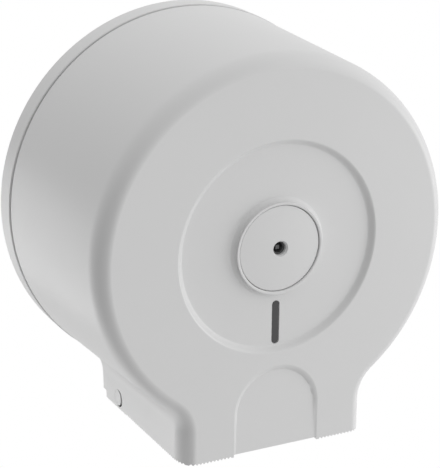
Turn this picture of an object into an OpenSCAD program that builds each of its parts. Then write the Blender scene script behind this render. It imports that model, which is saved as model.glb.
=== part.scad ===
// Wall-mounted toilet roll dispenser: a round drum with a paper chute below it. The cover hinges
// on the back plate at the lower back of the chute and is held shut by a central key lock.
// X points right as seen from the front, the wall is the plane Y = 0 and the front faces -Y.
// The origin lies on the wall face, on the axis of the roll spindle.
// "Depth" is the distance from the wall, so a depth of d is the plane Y = -d.

/* [Casing] */
// Outer radius of the back plate's rim
rim_r = 113; // [111:0.5:116]
// Depth at which the rim ends
rim_depth = 13.4; // [12.6:0.2:15]
// Open line between the rim and the cover
groove_gap = 0.8; // [0.5:0.1:1.2]
// Bevel on both edges of that line
groove_bevel = 0.4; // [0.2:0.1:0.6]
// How much smaller than the rim the cover is where they meet
cover_step = 0.5; // [0.2:0.1:1]
// How much the drum narrows from the groove to its front
drum_taper = 3.6; // [2.4:0.2:5]
// Depth of the front face
front_depth = 134; // [131:1:140]
// Width of the front edge's round
edge_w = 6.8; // [5:0.2:9]
// Depth of the front edge's round
edge_d = 16; // [12:0.5:18]
// Wall thickness of the cover
wall = 2.8; // [2.4:0.1:3.1]

/* [Chute] */
// Outer width of the chute
chute_w = 117; // [113:1:121]
// How far the chute reaches below the rim
chute_below = 9; // [6:0.5:13]
// Round in the corner where the drum runs into the chute
blend_r = 20; // [15:1:24]
// Depth of the back edges of the chute's side walls
chute_back = 20.5; // [19:0.5:23]
// How much further forward those edges lie at their lower end
chute_lean = 1.4; // [0.6:0.1:2]
// Depth of the notch in the lower back corner of the side walls
heel_back = 26; // [24:0.5:29]
// Height of that notch
heel_h = 4.5; // [3:0.5:6]
// Width of the arched hollow in the chute's front
arch_w = 54; // [48:1:58]
// Top of the arched hollow below the spindle axis
arch_top = 70.2; // [69:0.1:75]
// How deep the hollow is at its top
arch_sink = 2.4; // [1.6:0.1:2.6]
// How deep the hollow is at the bottom edge
arch_end_sink = 0.5; // [0.3:0.1:1]
// How much higher than the tooth tips the edge under the arch lies
arch_lift = 1.4; // [1:0.1:2]
// Distance between two tear teeth
tooth_pitch = 2.2; // [2:0.1:4]
// Height of a tear tooth
tooth_h = 1; // [0.8:0.1:1.5]
// Flat left on the tip of a tear tooth
tooth_flat = 0.3; // [0.2:0.1:0.5]

/* [Front disc] */
// Radius of the round recess at the front face
recess_r = 61.9; // [59.5:0.1:64]
// How deep the recess is
recess_sink = 3.1; // [2.5:0.1:3.5]
// Width of the recess's sloping edge
recess_slope = 2.6; // [1.6:0.1:2.8]
// Radius of the lock boss at its foot
boss_r = 29.3; // [28.6:0.1:30]
// Radius of the lock boss at its top
boss_top_r = 26.6; // [26.3:0.1:27.4]
// How far the boss stands proud of the front face
boss_proud = 0.9; // [0.5:0.1:1.2]
// Bevel on the boss's top edge
boss_edge = 0.35; // [0.2:0.05:0.5]

/* [Level window] */
// Top of the window slot below the spindle axis
slot_top = 32.2; // [31.6:0.1:34]
// Bottom of the window slot below the spindle axis
slot_end = 57.9; // [50:0.5:58]
// Width of the window slot
slot_w = 4.4; // [4.4:0.1:6]
// Gap all round between the window's rib and the slot
window_gap = 0.1; // [0.05:0.05:0.2]
// How far the window lies below the recess floor
window_sink = 0.3; // [0.2:0.1:0.8]
// Width of the window's flange behind the wall
window_w = 16; // [15:0.5:20]
// Thickness of that flange
window_t = 1.5; // [1.2:0.1:2]
// Margin of the flange beyond the slot's lower end
window_margin = 4; // [3:0.5:5]
// Radius of the two pegs that hold the window
peg_r = 1.2; // [1:0.1:1.4]
// Distance between the two pegs
peg_span = 11; // [10:0.5:11.5]
// Radius of the pegs' riveted heads
peg_head_r = 1.9; // [1.7:0.1:2.1]
// Height of the pegs' riveted heads
peg_head_h = 0.8; // [0.6:0.1:1.2]

/* [Back plate] */
// Thickness of the plate
plate_t = 3; // [2.6:0.1:3.6]
// Thickness of the rim
rim_t = 4.5; // [4.2:0.1:5.5]
// How far the upper lip reaches into the cover
lip_len = 4; // [2.5:0.5:5]
// Gap between that lip and the cover's inside
lip_gap = 0.6; // [0.5:0.1:0.8]
// Thickness of that lip
lip_t = 2; // [1.6:0.1:2.6]
// Height of the web that joins the lip to the rim
lip_foot = 2; // [1.5:0.1:3]
// Bevel on the lip's edge
lip_bevel = 1; // [0.5:0.1:1.4]
// Angle above the horizontal at which the lip starts on each side
lip_from = 14; // [10:1:30]
// Number of radial ribs
rib_count = 12; // [8:2:16]
// Thickness of the ribs
rib_t = 2; // [1.6:0.1:3]
// Depth that the ribs reach
rib_depth = 7; // [5:0.5:7.5]
// Radius of the ring rib
ring_rib_r = 88; // [86:1:94]
// Radius of the raised pad under the spindle
pad_r = 37; // [35:0.5:42]
// Depth of that pad's face
pad_depth = 8; // [8:0.5:10]
// Distance between the wall screws along X
fix_w = 110; // [100:5:115]
// Distance between the wall screws along Z
fix_h = 110; // [100:5:115]
// Radius of the wall screw holes
fix_r = 2.75; // [2.25:0.25:3.25]
// Radius of the bosses round them
fix_boss_r = 8; // [7:0.5:9]
// Depth of those bosses' faces
fix_boss_depth = 6; // [5:0.5:7]
// Radius of their countersinks at the face
fix_sink_r = 5.2; // [4.5:0.1:6]

/* [Hinge] */
// Depth of the hinge axis
pivot_depth = 44; // [42:0.5:47]
// Radius of the hinge pins' heads, which the cover turns on
pin_head_r = 5.25; // [4.75:0.05:5.5]
// Material left under the cover's hinge holes
pivot_web = 1.1; // [1:0.1:2]
// Running gap all round the heads
pin_gap = 0.05; // [0.03:0.01:0.08]
// Radius of the pins' shafts in the arms
pin_shaft_r = 3.5; // [2.8:0.1:3.8]
// How deep the slanted faces of the pins sink below the cover's side
pin_slant = 2; // [1:0.1:2.4]
// Thickness of the hinge arms
arm_t = 4; // [3.4:0.1:5]
// Gap between an arm and the cover's side wall
arm_gap = 0.6; // [0.4:0.1:0.9]
// Radius of the arms' round noses
arm_nose_r = 8.6; // [7.5:0.1:9.5]
// Height of the arms where they leave the plate
arm_root_h = 15; // [12:0.5:18]
// Depth at which the arms' upper edge bends
arm_bend = 10; // [8:0.5:14]
// Height of the arms at that bend
arm_bend_h = 8; // [6:0.5:10]
// Distance behind the pivot at which the arms slope down to their noses
arm_slope = 14; // [12:0.5:16]
// Height of the arms where that slope starts
arm_neck_h = 4.5; // [4:0.5:6]
// How far the arms run down on their way to the notch
arm_fall = 2; // [1:0.5:3]
// Radius of the push-on clips inside the arms
clip_ring_r = 6; // [5.4:0.1:6.1]
// Thickness of those clips
clip_ring_t = 1; // [0.8:0.1:1.4]
// How far the shafts stand out of the clips
pin_tail = 0.8; // [0.5:0.1:1.5]

/* [Spindle] */
// Outer radius of the spindle post
post_r = 21; // [20.5:0.1:22]
// Wall thickness of the spindle post
post_wall = 3; // [2.5:0.1:3.2]
// Radius of the post's flange
flange_r = 33; // [31.5:0.5:35]
// Thickness of the post's flange
flange_t = 3; // [2.8:0.1:4]
// Radius on which the four post screws lie
post_screw_ring = 27; // [26.5:0.1:28]
// Radius of the post screws' shanks
post_screw_r = 1.9; // [1.6:0.1:2]
// Radius of the post screws' heads
post_screw_head_r = 3.9; // [3.4:0.1:4]
// Length of the post screws
post_screw_len = 9; // [8:0.5:9.5]
// Thickness of the thrust washer behind the hub
washer_t = 1; // [0.8:0.1:1.5]
// Outer radius of the thrust washer
washer_r = 30; // [29:0.5:31]
// Outer radius of the roll hub, for a roll with a core of 60 mm
hub_r = 28; // [27:0.1:29]
// Thickness of the hub's two walls
hub_wall = 2; // [1.6:0.1:2.4]
// Number of webs between them
hub_webs = 6; // [4:1:8]
// Running gap between hub and post
hub_gap = 0.08; // [0.05:0.01:0.09]
// End play at each end of the hub
hub_play = 0.35; // [0.3:0.05:0.6]

/* [Lock] */
// Radius of the lock cap
cap_r = 24.9; // [24.6:0.1:25]
// Open line round the lock cap
cap_gap = 0.6; // [0.5:0.1:0.7]
// How far the cap's middle stands proud of the front face
cap_proud = 1.2; // [0.9:0.1:1.6]
// Rise of the cap's dome
cap_dome = 0.5; // [0.2:0.1:0.7]
// Thickness of the cap in the middle
cap_t = 2.8; // [2.4:0.1:3]
// Thickness of the cap's skirt
cap_skirt_t = 1.2; // [1:0.1:1.4]
// Small round of the cap's outer edge
cap_edge = 0.5; // [0.3:0.1:0.6]
// Depth of the pocket for the cap behind the front face
pocket_sink = 3.9; // [3.8:0.1:4.4]
// Radius of the key hole at the cap's face
key_mouth_r = 4.5; // [4.2:0.1:5]
// Radius of the key hole behind its bevel
key_throat_r = 3.9; // [3.4:0.1:4]
// Depth of that bevel
key_bevel = 1.2; // [0.8:0.1:1.6]
// Radius of the key socket in the barrel
socket_r = 3.1; // [2.6:0.1:3.3]
// Depth of the key socket
socket_len = 5; // [4:0.5:7]
// Side of the square post in the key socket
socket_post = 2.2; // [1.8:0.1:2.8]
// Radius of the barrel's head
head_r = 10.4; // [9.8:0.1:10.6]
// Length of the barrel's head
head_len = 5; // [4.5:0.1:5.5]
// Radius of the barrel's shaft
shaft_r = 6; // [5.5:0.1:6.2]
// Running gap round the shaft
shaft_gap = 0.05; // [0.03:0.01:0.08]
// Radius of the barrel's neck in the keeper slot
neck_r = 4; // [3.6:0.1:4.2]
// Gap between lock parts that turn past each other
turn_gap = 0.4; // [0.3:0.05:0.5]
// Inner radius of the lock housing
housing_r = 11; // [10.9:0.1:11.2]
// Wall thickness of the lock housing's cup
housing_wall = 1.8; // [1.5:0.1:2]
// Thickness of the lock housing's flange
housing_t = 2.5; // [2:0.1:3]
// Depth of the lock housing's cup
housing_deep = 10.3; // [9.5:0.1:11]
// Thickness of the lock housing's floor
housing_floor = 3; // [2.5:0.1:3.4]
// Radius on which the three lock screws lie
lock_screw_ring = 17.6; // [17.4:0.1:18]
// Radius of the lock screws' shanks
lock_screw_r = 1.4; // [1.2:0.1:1.5]
// Radius of the lock screws' heads
lock_screw_head_r = 2.7; // [2.5:0.1:2.9]
// Length of the lock screws
lock_screw_len = 9; // [8:0.5:10]
// Radius of the housing's screw bosses
lug_r = 3.6; // [3.2:0.1:3.8]
// Length of those bosses
lug_len = 8.5; // [8:0.5:10]
// Radius on which the cap's snap legs lie
leg_ring = 22; // [21.9:0.1:22.1]
// Width of a snap leg
leg_w = 6; // [5:0.5:7]
// Thickness of a snap leg
leg_t = 1.6; // [1.4:0.1:1.8]
// Hook of a snap leg
leg_hook = 0.9; // [0.7:0.1:1]
// How far the snap legs reach behind the pocket floor
leg_tip = 2; // [1.6:0.1:2.4]
// Gap round a snap leg in its slot
leg_gap = 0.3; // [0.2:0.05:0.4]
// Thickness of the clip that holds the barrel in its housing
clip_t = 0.8; // [0.6:0.1:1]
// Outer radius of that clip
clip_r = 8.4; // [8:0.1:9]
// Depth of the groove that the clip sits in
clip_bite = 1; // [0.8:0.1:1.2]
// Width of the clip's mouth as a share of its inside
clip_mouth = 0.7; // [0.6:0.05:0.8]
// Wire radius of the lock spring
spring_wire_r = 0.6; // [0.5:0.05:0.7]
// Radius of the spring's coils at the middle of the wire
spring_r = 8.5; // [8:0.1:9]
// Number of the spring's turns
spring_turns = 4; // [3:1:5]

/* [Lock bar] */
// Thickness of the keeper on the post's end
keeper_t = 2; // [1.6:0.1:2.4]
// Radius of the keeper
keeper_r = 24; // [23:0.5:25]
// Half the width of the keeper's slot
keeper_slot = 4.7; // [4.6:0.1:5]
// Distance of the keeper screws from the axis
keeper_screw_x = 14.4; // [14:0.1:14.8]
// Radius of the keeper screws' shanks
keeper_screw_r = 1.3; // [1:0.1:1.4]
// Radius of the keeper screws' heads
keeper_screw_head_r = 2.4; // [2.2:0.1:2.6]
// Length of the keeper screws
keeper_screw_len = 8; // [6:0.5:9]
// Half the length of the lock bar
bar_half = 10; // [9:0.1:10.2]
// Half the width of the lock bar
bar_side = 4; // [3.6:0.1:4.2]
// Thickness of the lock bar
bar_t = 3; // [2.5:0.1:3.5]
// Radius of the barrel's flatted end in the bar
spigot_r = 3; // [2.6:0.1:3.2]
// Distance between the flats on that end
spigot_flat = 4.4; // [4:0.1:4.8]
// Radius of the bar's washer and its screw head
bar_screw_head_r = 3.6; // [3.2:0.1:3.8]
// Radius of the bar screw's shank
bar_screw_r = 1.2; // [1:0.1:1.3]
// Length of the bar screw under its head
bar_screw_len = 8; // [6:0.5:10]

/* [Hidden] */
$fn = 96;

// Steps of the skins: along the drum, in a corner blend, and round the front edge. Then those of
// the cap's dome, the sides of the spring's wire, and its steps in a turn
drum_steps = 84;
blend_steps = 6;
edge_steps = 6;
inner_edge_steps = 4;
cap_steps = 7;
spring_sides = 6;
spring_steps = 8;
over = 1;            // how far a cut reaches past what it cuts
fit = 0.05;          // gap all round a screw, clip or pin in its hole
pilot = 0.4;         // how much deeper a screw hole is than its screw
head_cone = 0.9;     // depth of a countersunk head per millimetre of its overhang
cross_w = 0.8;       // width of the cross in a screw head
cross_h = 1.1;       // depth of that cross
cross_span = 0.62;   // reach of that cross as a share of the head's radius

cover_back = rim_depth + groove_gap;
half_chute = chute_w / 2;
tooth_end = wall + 0.1; // the teeth end this far from the chute's outer faces
chute_drop = rim_r + chute_below;
cover_r = rim_r - cover_step;
recess_floor = front_depth - recess_sink;
recess_back = recess_floor - wall;
boss_top = front_depth + boss_proud;
pocket_floor = front_depth - pocket_sink;
pocket_back = pocket_floor - wall;
pocket_r = cap_r + cap_gap;
boss_pad_r = boss_r + 0.3;    // radius of the thicker wall behind the boss

// Where the rim passes the chute's sides, below the axis, and where the cover's step under it lies
rim_end = sqrt(pow(rim_r, 2) - pow(half_chute, 2));
step_drop = rim_end + 1.3;

hinge_hole_r = pin_head_r + pin_gap;
pivot_drop = chute_drop - pivot_web - hinge_hole_r;
arm_out = half_chute - wall - arm_gap;
arm_in = arm_out - arm_t;
arm_bottom = chute_drop - 0.3;
arm_low = rim_end + 0.3;      // lower edge of the arms at the plate, inside the rim's wall

cup_top = pocket_back - housing_deep;
cup_end = cup_top - housing_floor;
clip_front = cup_end - turn_gap;
clip_back = clip_front - clip_t;
keeper_front = clip_back - turn_gap;
post_end = keeper_front - keeper_t;
bar_front = post_end - turn_gap;
bar_back = bar_front - bar_t;
bar_washer_t = 0.8;
bar_head_h = 2;
bar_washer_lip = 0.3;         // how far the washer stands out all round the screw's head
cap_back = front_depth + cap_proud - cap_t;
barrel_front = cap_back - turn_gap;
head_back = barrel_front - head_len;

post_in = post_r - post_wall;
flange_face = pad_depth + flange_t;
hub_back = flange_face + washer_t + hub_play;
hub_front = post_end - hub_play;

// The bar leaves the slot forward and down, along its arc about the hinge. Its tail clears the
// keeper after this much travel, and has come down by the drop.
bar_tail = bar_back - bar_washer_t - bar_head_h;
bar_travel = keeper_front - bar_tail;
bar_drop = bar_travel * (bar_back - pivot_depth) / pivot_drop;
keeper_slot_top = bar_half + turn_gap;
keeper_slot_end = bar_half + bar_drop + turn_gap;

white = [0.88, 0.88, 0.89];
inner_white = [0.8, 0.81, 0.82];
grey = [0.55, 0.57, 0.6];
steel = [0.66, 0.67, 0.69];
smoke = [0.25, 0.25, 0.26];

function mix(a, b, t) = a + (b - a) * t;
function flip(points) = [for (i = [len(points) - 1:-1:0]) [-points[i][0], points[i][1]]];

// Radius of the drum's outside at a depth
function drum_r(depth) =
    cover_r - drum_taper * (depth - cover_back) / (front_depth - cover_back);

// Right half of the chute: from the bottom edge up its side and round the blend to the drum
function chute_side(r, half, blend, bottom) =
    let (z = -sqrt(pow(r + blend, 2) - pow(half + blend, 2)), lean = atan2(z, half + blend))
    concat(
        [[half, -bottom]],
        [for (i = [0:blend_steps])
            let (a = mix(180, 180 + lean, i / blend_steps))
            [half + blend + blend * cos(a), z + blend * sin(a)]]
    );

// Outline of drum and chute, anticlockwise as seen from the front
function outline(r, half, blend, bottom) =
    let (side = chute_side(r, half, blend, bottom),
         lean = atan2(side[len(side) - 1][1], side[len(side) - 1][0]))
    concat(
        side,
        [for (i = [1:drum_steps - 1])
            let (a = mix(lean, 180 - lean, i / drum_steps)) [r * cos(a), r * sin(a)]],
        flip(side)
    );

// The same outline drawn in by an inset and placed at a depth
function ring(depth, inset, bottom) =
    [for (p = outline(drum_r(depth) - inset, half_chute - inset, blend_r + inset, bottom))
        [p[0], -depth, p[1]]];

// Faces that close a ring of n points, each reaching across it from one point to its mirror image
function cap(n) =
    [for (i = [0:ceil(n / 2) - 2])
        i + 1 == n - 2 - i ? [i, i + 1, n - 1 - i] : [i, i + 1, n - 2 - i, n - 1 - i]];

// Closed solid through a list of rings that run from back to front
module skin(rings) {
    n = len(rings[0]);
    last = (len(rings) - 1) * n;
    polyhedron(
        points = [for (r = rings) each r],
        faces = concat(
            cap(n),
            [for (face = cap(n)) [for (i = [len(face) - 1:-1:0]) last + face[i]]],
            [for (k = [0:len(rings) - 2], i = [0:n - 1])
                let (j = (i + 1) % n, a = k * n) [a + i, a + n + i, a + n + j]],
            [for (k = [0:len(rings) - 2], i = [0:n - 1])
                let (j = (i + 1) % n, a = k * n) [a + i, a + n + j, a + j]]
        )
    );
}

// Extrudes a shape, drawn in X and Z, from one depth to a greater one
module slab(from, to) {
    translate([0, -from, 0]) rotate([90, 0, 0]) linear_extrude(to - from) children();
}

// Turns a profile, drawn in radius and depth, about the spindle axis
module turned() {
    rotate([90, 0, 0]) rotate_extrude() children();
}

// Cylinder along the spindle axis between two depths
module rod(r, from, to) {
    translate([0, -from, 0]) rotate([90, 0, 0]) cylinder(r = r, h = to - from);
}

// Extrudes a shape, drawn in Y and Z, from one X to a greater one
module side_slab(from, to) {
    translate([from, 0, 0]) rotate([90, 0, 90]) linear_extrude(to - from) children();
}

// Cylinder along X between two X values, at the hinge axis
module hinge_rod(r, from, to) {
    translate([from, -pivot_depth, -pivot_drop]) rotate([0, 90, 0]) cylinder(r = r, h = to - from);
}

// Children once for each of count places on a circle about the spindle axis
module around(count, radius, first) {
    for (i = [0:count - 1]) {
        a = first + i * 360 / count;
        translate([radius * cos(a), 0, radius * sin(a)]) children();
    }
}

// Countersunk screw along the depth, its face at a depth and its tip nearer the wall
module sunk_screw(face, head_r, shank_r, length) {
    cone = (head_r - shank_r) * head_cone;
    difference() {
        turned() polygon([
            [0, face - length], [shank_r, face - length], [shank_r, face - cone],
            [head_r, face], [0, face]
        ]);
        for (a = [0, 90]) {
            rotate([0, a, 0])
                translate([-head_r * cross_span, -face - over, -cross_w / 2])
                    cube([2 * head_r * cross_span, over + cross_h, cross_w]);
        }
    }
}

// The hole that such a screw sits in, to a given depth
module sunk_hole(face, head_r, shank_r, to) {
    cone = (head_r - shank_r) * head_cone;
    turned() polygon([
        [0, to], [shank_r + fit, to], [shank_r + fit, face - cone],
        [head_r + fit, face], [head_r + fit, face + over], [0, face + over]
    ]);
}

// Back plate: plate, rim, ribs, pads and the two hinge arms

module plate_ribs() {
    intersection() {
        union() {
            for (i = [0:rib_count - 1]) {
                rotate([0, i * 360 / rib_count, 0])
                    translate([0, -rib_depth, -rib_t / 2])
                        cube([rim_r, rib_depth - plate_t / 2, rib_t]);
            }
            turned() polygon([
                [ring_rib_r, plate_t / 2], [ring_rib_r + rib_t, plate_t / 2],
                [ring_rib_r + rib_t, rib_depth], [ring_rib_r, rib_depth]
            ]);
        }
        rod(rim_r - rim_t / 2, 0, rim_depth);
    }
}

module upper_lip() {
    r = cover_r - wall - lip_gap;
    web = rim_depth - lip_bevel;
    tip = rim_depth + lip_len;
    difference() {
        turned() polygon([
            [r - lip_t, web - lip_foot], [rim_r - rim_t / 2, web - lip_foot], [rim_r - rim_t / 2, web],
            [r, web], [r, tip - lip_bevel], [r - lip_bevel, tip], [r - lip_t, tip]
        ]);
        slab(web - lip_foot - over, tip + over) polygon([
            [0, 0], [rim_r * 2 * cos(lip_from), rim_r * 2 * sin(lip_from)], [rim_r * 2, -rim_r * 2],
            [-rim_r * 2, -rim_r * 2], [-rim_r * 2 * cos(lip_from), rim_r * 2 * sin(lip_from)]
        ]);
    }
}

// Outline of a hinge arm in Y and Z: it leaves the plate inside the rim, runs forward under the
// roll and drops behind the chute's side wall to the pivot
module arm_outline() {
    knee = heel_back + arm_gap;
    polygon([
        [-plate_t / 2, -arm_low + arm_root_h], [-plate_t / 2, -arm_low],
        [-knee, -arm_low - arm_fall], [-knee, -arm_bottom],
        [-pivot_depth, -arm_bottom], [-pivot_depth, -pivot_drop + arm_nose_r],
        [-pivot_depth + arm_slope, -arm_low + arm_neck_h], [-arm_bend, -arm_low + arm_bend_h]
    ]);
    intersection() {
        translate([-pivot_depth, -pivot_drop]) circle(r = arm_nose_r);
        translate([-pivot_depth - arm_nose_r, -arm_bottom]) square([arm_nose_r * 2, arm_nose_r * 2]);
    }
}

module hinge_arm() {
    difference() {
        side_slab(arm_in, arm_out) arm_outline();
        hinge_rod(pin_shaft_r + fit, arm_in - over, arm_out + over);
    }
}

module back_plate() color(white) {
    difference() {
        union() {
            turned() polygon([
                [0, 0], [rim_r, 0], [rim_r, rim_depth - groove_bevel], [rim_r - groove_bevel, rim_depth],
                [rim_r - rim_t, rim_depth], [rim_r - rim_t, plate_t], [0, plate_t]
            ]);
            plate_ribs();
            upper_lip();
            rod(pad_r, plate_t / 2, pad_depth);
            for (x = [-1, 1], z = [-1, 1]) {
                translate([x * fix_w / 2, 0, z * fix_h / 2]) rod(fix_boss_r, plate_t / 2, fix_boss_depth);
            }
            hinge_arm();
            mirror([1, 0, 0]) hinge_arm();
        }
        for (x = [-1, 1], z = [-1, 1]) {
            translate([x * fix_w / 2, 0, z * fix_h / 2]) {
                rod(fix_r, -over, fix_boss_depth + over);
                turned() polygon([
                    [0, fix_boss_depth - fix_sink_r + fix_r], [fix_r, fix_boss_depth - fix_sink_r + fix_r],
                    [fix_sink_r, fix_boss_depth], [fix_sink_r, rib_depth + over], [0, rib_depth + over]
                ]);
            }
        }
        around(4, post_screw_ring, 45)
            rod(post_screw_r + fit, flange_face - post_screw_len - pilot, pad_depth + over);
    }
}

// Hinge pins: a shaft in the arm, and a round head in the cover with a slanted lead-in face

module hinge_pin() color(white) {
    difference() {
        union() {
            hinge_rod(pin_shaft_r, arm_in - clip_ring_t - pin_tail, arm_out + over / 2);
            hinge_rod(pin_head_r, arm_out, half_chute);
        }
        translate([half_chute, -pivot_depth + pin_head_r, -pivot_drop])
            rotate([0, 0, -atan(pin_slant / (2 * pin_head_r))])
                translate([0, -4 * pin_head_r, -2 * pin_head_r])
                    cube([2 * pin_slant + over, 6 * pin_head_r, 4 * pin_head_r]);
    }
}

module hinge_pin_right() {
    hinge_pin();
}

module hinge_pin_left() {
    mirror([1, 0, 0]) hinge_pin();
}

module hinge_clips() color(steel) {
    for (side = [0, 1]) {
        mirror([side, 0, 0]) difference() {
            hinge_rod(clip_ring_r, arm_in - clip_ring_t, arm_in);
            hinge_rod(pin_shaft_r + fit, arm_in - clip_ring_t - over, arm_in + over);
        }
    }
}

// Spindle: post, its screws, thrust washer, keeper and roll hub

module spindle_post() color(inner_white) {
    lug_r = keeper_screw_r + 2;
    lug_back = post_end - keeper_screw_len - 4;
    difference() {
        union() {
            rod(flange_r, pad_depth, flange_face);
            rod(post_r, pad_depth, post_end);
        }
        rod(post_in, pad_depth - over, post_end + over);
        around(4, post_screw_ring, 45)
            sunk_hole(flange_face, post_screw_head_r, post_screw_r, pad_depth - over);
    }
    for (side = [-1, 1]) {
        difference() {
            intersection() {
                rod(post_r - post_wall / 2, lug_back, post_end);
                union() {
                    translate([side * keeper_screw_x, 0, 0]) rod(lug_r, lug_back, post_end);
                    translate([side > 0 ? keeper_screw_x : -post_r, -post_end, -lug_r])
                        cube([post_r - keeper_screw_x, post_end - lug_back, 2 * lug_r]);
                }
            }
            translate([side * keeper_screw_x, 0, 0])
                rod(keeper_screw_r + fit, keeper_front - keeper_screw_len - pilot, post_end + over);
        }
    }
}

module post_screws() color(steel) {
    around(4, post_screw_ring, 45) sunk_screw(flange_face, post_screw_head_r, post_screw_r, post_screw_len);
}

module hub_washer() color(grey) {
    difference() {
        rod(washer_r, flange_face, flange_face + washer_t);
        rod(post_r + hub_gap, flange_face - over, flange_face + washer_t + over);
    }
}

// The slot is round-ended and longer below than above, for the bar's way out
module keeper_plate() color(steel) {
    difference() {
        rod(keeper_r, post_end, keeper_front);
        slab(post_end - over, keeper_front + over) {
            translate([-keeper_slot, -keeper_slot_end + keeper_slot])
                square([2 * keeper_slot, keeper_slot_top + keeper_slot_end - 2 * keeper_slot]);
            translate([0, keeper_slot_top - keeper_slot]) circle(r = keeper_slot);
            translate([0, -keeper_slot_end + keeper_slot]) circle(r = keeper_slot);
        }
        for (side = [-1, 1]) {
            translate([side * keeper_screw_x, 0, 0])
                sunk_hole(keeper_front, keeper_screw_head_r, keeper_screw_r, post_end - over);
        }
    }
}

module keeper_screws() color(steel) {
    for (side = [-1, 1]) {
        translate([side * keeper_screw_x, 0, 0])
            sunk_screw(keeper_front, keeper_screw_head_r, keeper_screw_r, keeper_screw_len);
    }
}

module roll_hub() color(grey) {
    sleeve_in = post_r + hub_gap;
    sleeve_out = sleeve_in + hub_wall;
    difference() {
        rod(sleeve_out, hub_back, hub_front);
        rod(sleeve_in, hub_back - over, hub_front + over);
    }
    difference() {
        rod(hub_r, hub_back, hub_front);
        rod(hub_r - hub_wall, hub_back - over, hub_front + over);
    }
    difference() {
        union() {
            rod(hub_r - hub_wall / 2, hub_front - 2 * hub_wall, hub_front - hub_wall);
            for (i = [0:hub_webs - 1]) {
                rotate([0, i * 360 / hub_webs, 0])
                    translate([sleeve_out - hub_wall / 2, -hub_front + 2 * hub_wall, -hub_wall / 2])
                        cube([hub_r - sleeve_out, hub_front - hub_back - 2 * hub_wall, hub_wall]);
            }
        }
        rod(sleeve_out - hub_wall / 2, hub_back - over, hub_front + over);
    }
}

// Cover

module cover_form() {
    skin(concat(
        [ring(cover_back, groove_bevel, chute_drop)],
        [ring(cover_back + groove_bevel, 0, chute_drop)],
        [for (i = [0:edge_steps])
            let (a = 90 * i / edge_steps)
            ring(front_depth - edge_d * (1 - sin(a)), edge_w * (1 - cos(a)), chute_drop)]
    ));
}

module cavity_form() {
    w = edge_w - wall;
    d = edge_d - wall;
    skin(concat(
        [ring(cover_back - over, wall, chute_drop + over)],
        [for (i = [0:inner_edge_steps])
            let (a = 90 * i / inner_edge_steps)
            ring(front_depth - wall - d * (1 - sin(a)), wall + w * (1 - cos(a)), chute_drop + over)]
    ));
}

// Arch as a flat shape, grown by a margin
module arch_shape(margin, bottom) {
    r = arch_w / 2;
    translate([0, -arch_top - r]) circle(r = r + margin);
    translate([-r - margin, -bottom]) square([arch_w + 2 * margin, bottom - arch_top - r]);
}

// The cut of the arched hollow: its floor rises towards the bottom edge
module arch_hollow() {
    intersection() {
        slab(front_depth - arch_sink - over, front_depth + over) arch_shape(0, chute_drop + over);
        side_slab(-arch_w, arch_w) polygon([
            [-front_depth - over, -arch_top + over], [-front_depth + arch_sink, -arch_top + over],
            [-front_depth + arch_end_sink, -chute_drop - over], [-front_depth - over, -chute_drop - over]
        ]);
    }
}

// Saw-toothed shape below a bottom edge at height z, between two places along it
module tooth_gaps(from, to, z) {
    count = floor((to - from) / tooth_pitch);
    start = (from + to - count * tooth_pitch) / 2;
    dip = tooth_flat * tooth_h / (tooth_pitch - tooth_flat);
    polygon(concat(
        [[start, z - over - dip], [start, z - dip]],
        [for (i = [0:count - 1]) each [
            [start + (i + 0.5) * tooth_pitch, z + tooth_h],
            [start + (i + 1) * tooth_pitch, z - dip]
        ]],
        [[start + count * tooth_pitch, z - over - dip]]
    ));
}

module teeth_cut() {
    edge = arch_w / 2 + tooth_flat;
    slab(front_depth - edge_d, front_depth + over) {
        tooth_gaps(edge, half_chute - tooth_end, -chute_drop);
        tooth_gaps(-half_chute + tooth_end, -edge, -chute_drop);
    }
    for (side = [0, 1]) {
        mirror([side, 0, 0]) side_slab(half_chute - wall - over, half_chute + over)
            tooth_gaps(-front_depth + tooth_end, -pivot_depth - 2 * hinge_hole_r, -chute_drop);
    }
    slab(front_depth - edge_d, front_depth + over) arch_foot();
}

module arch_foot() {
    translate([-arch_w / 2, -chute_drop - over]) square([arch_w, over + arch_lift]);
}

// What is taken off the back of the chute's side walls
module back_cut() {
    side_slab(-rim_r, rim_r) polygon([
        [0, -step_drop], [-chute_back, -step_drop], [-chute_back - chute_lean, -chute_drop + heel_h],
        [-heel_back, -chute_drop + heel_h], [-heel_back, -chute_drop - over], [0, -chute_drop - over]
    ]);
}

// The recess leaves the foot of the lock boss standing
module recess_cut() {
    lip = recess_slope / 3;
    difference() {
        turned() polygon([
            [0, front_depth + 2 * over], [recess_r + lip, front_depth + 2 * over],
            [recess_r + lip, front_depth], [recess_r, front_depth - lip / 2],
            [recess_r - recess_slope, recess_floor + lip / 2],
            [recess_r - recess_slope - lip, recess_floor], [0, recess_floor]
        ]);
        lock_boss();
    }
}

module lock_boss() {
    turned() polygon([
        [0, recess_floor - over], [boss_r, recess_floor - over], [boss_r, recess_floor],
        [mix(boss_r, boss_top_r, 0.55), mix(recess_floor, boss_top, 0.25)],
        [boss_top_r + boss_edge, mix(recess_floor, boss_top, 0.62)], [boss_top_r, boss_top - boss_edge],
        [boss_top_r - boss_edge, boss_top], [0, boss_top]
    ]);
}

// The ring round the cap's pocket, whose top stands proud of the front face
module boss_ring() {
    middle = (boss_r + pocket_r) / 2;
    turned() polygon([
        [pocket_r - over / 2, pocket_back + wall / 2], [middle, pocket_back + wall / 2],
        [middle, recess_floor], [boss_top_r, recess_floor], [boss_top_r, boss_top - boss_edge],
        [boss_top_r - boss_edge, boss_top], [pocket_r - over / 2, boss_top]
    ]);
}

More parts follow.
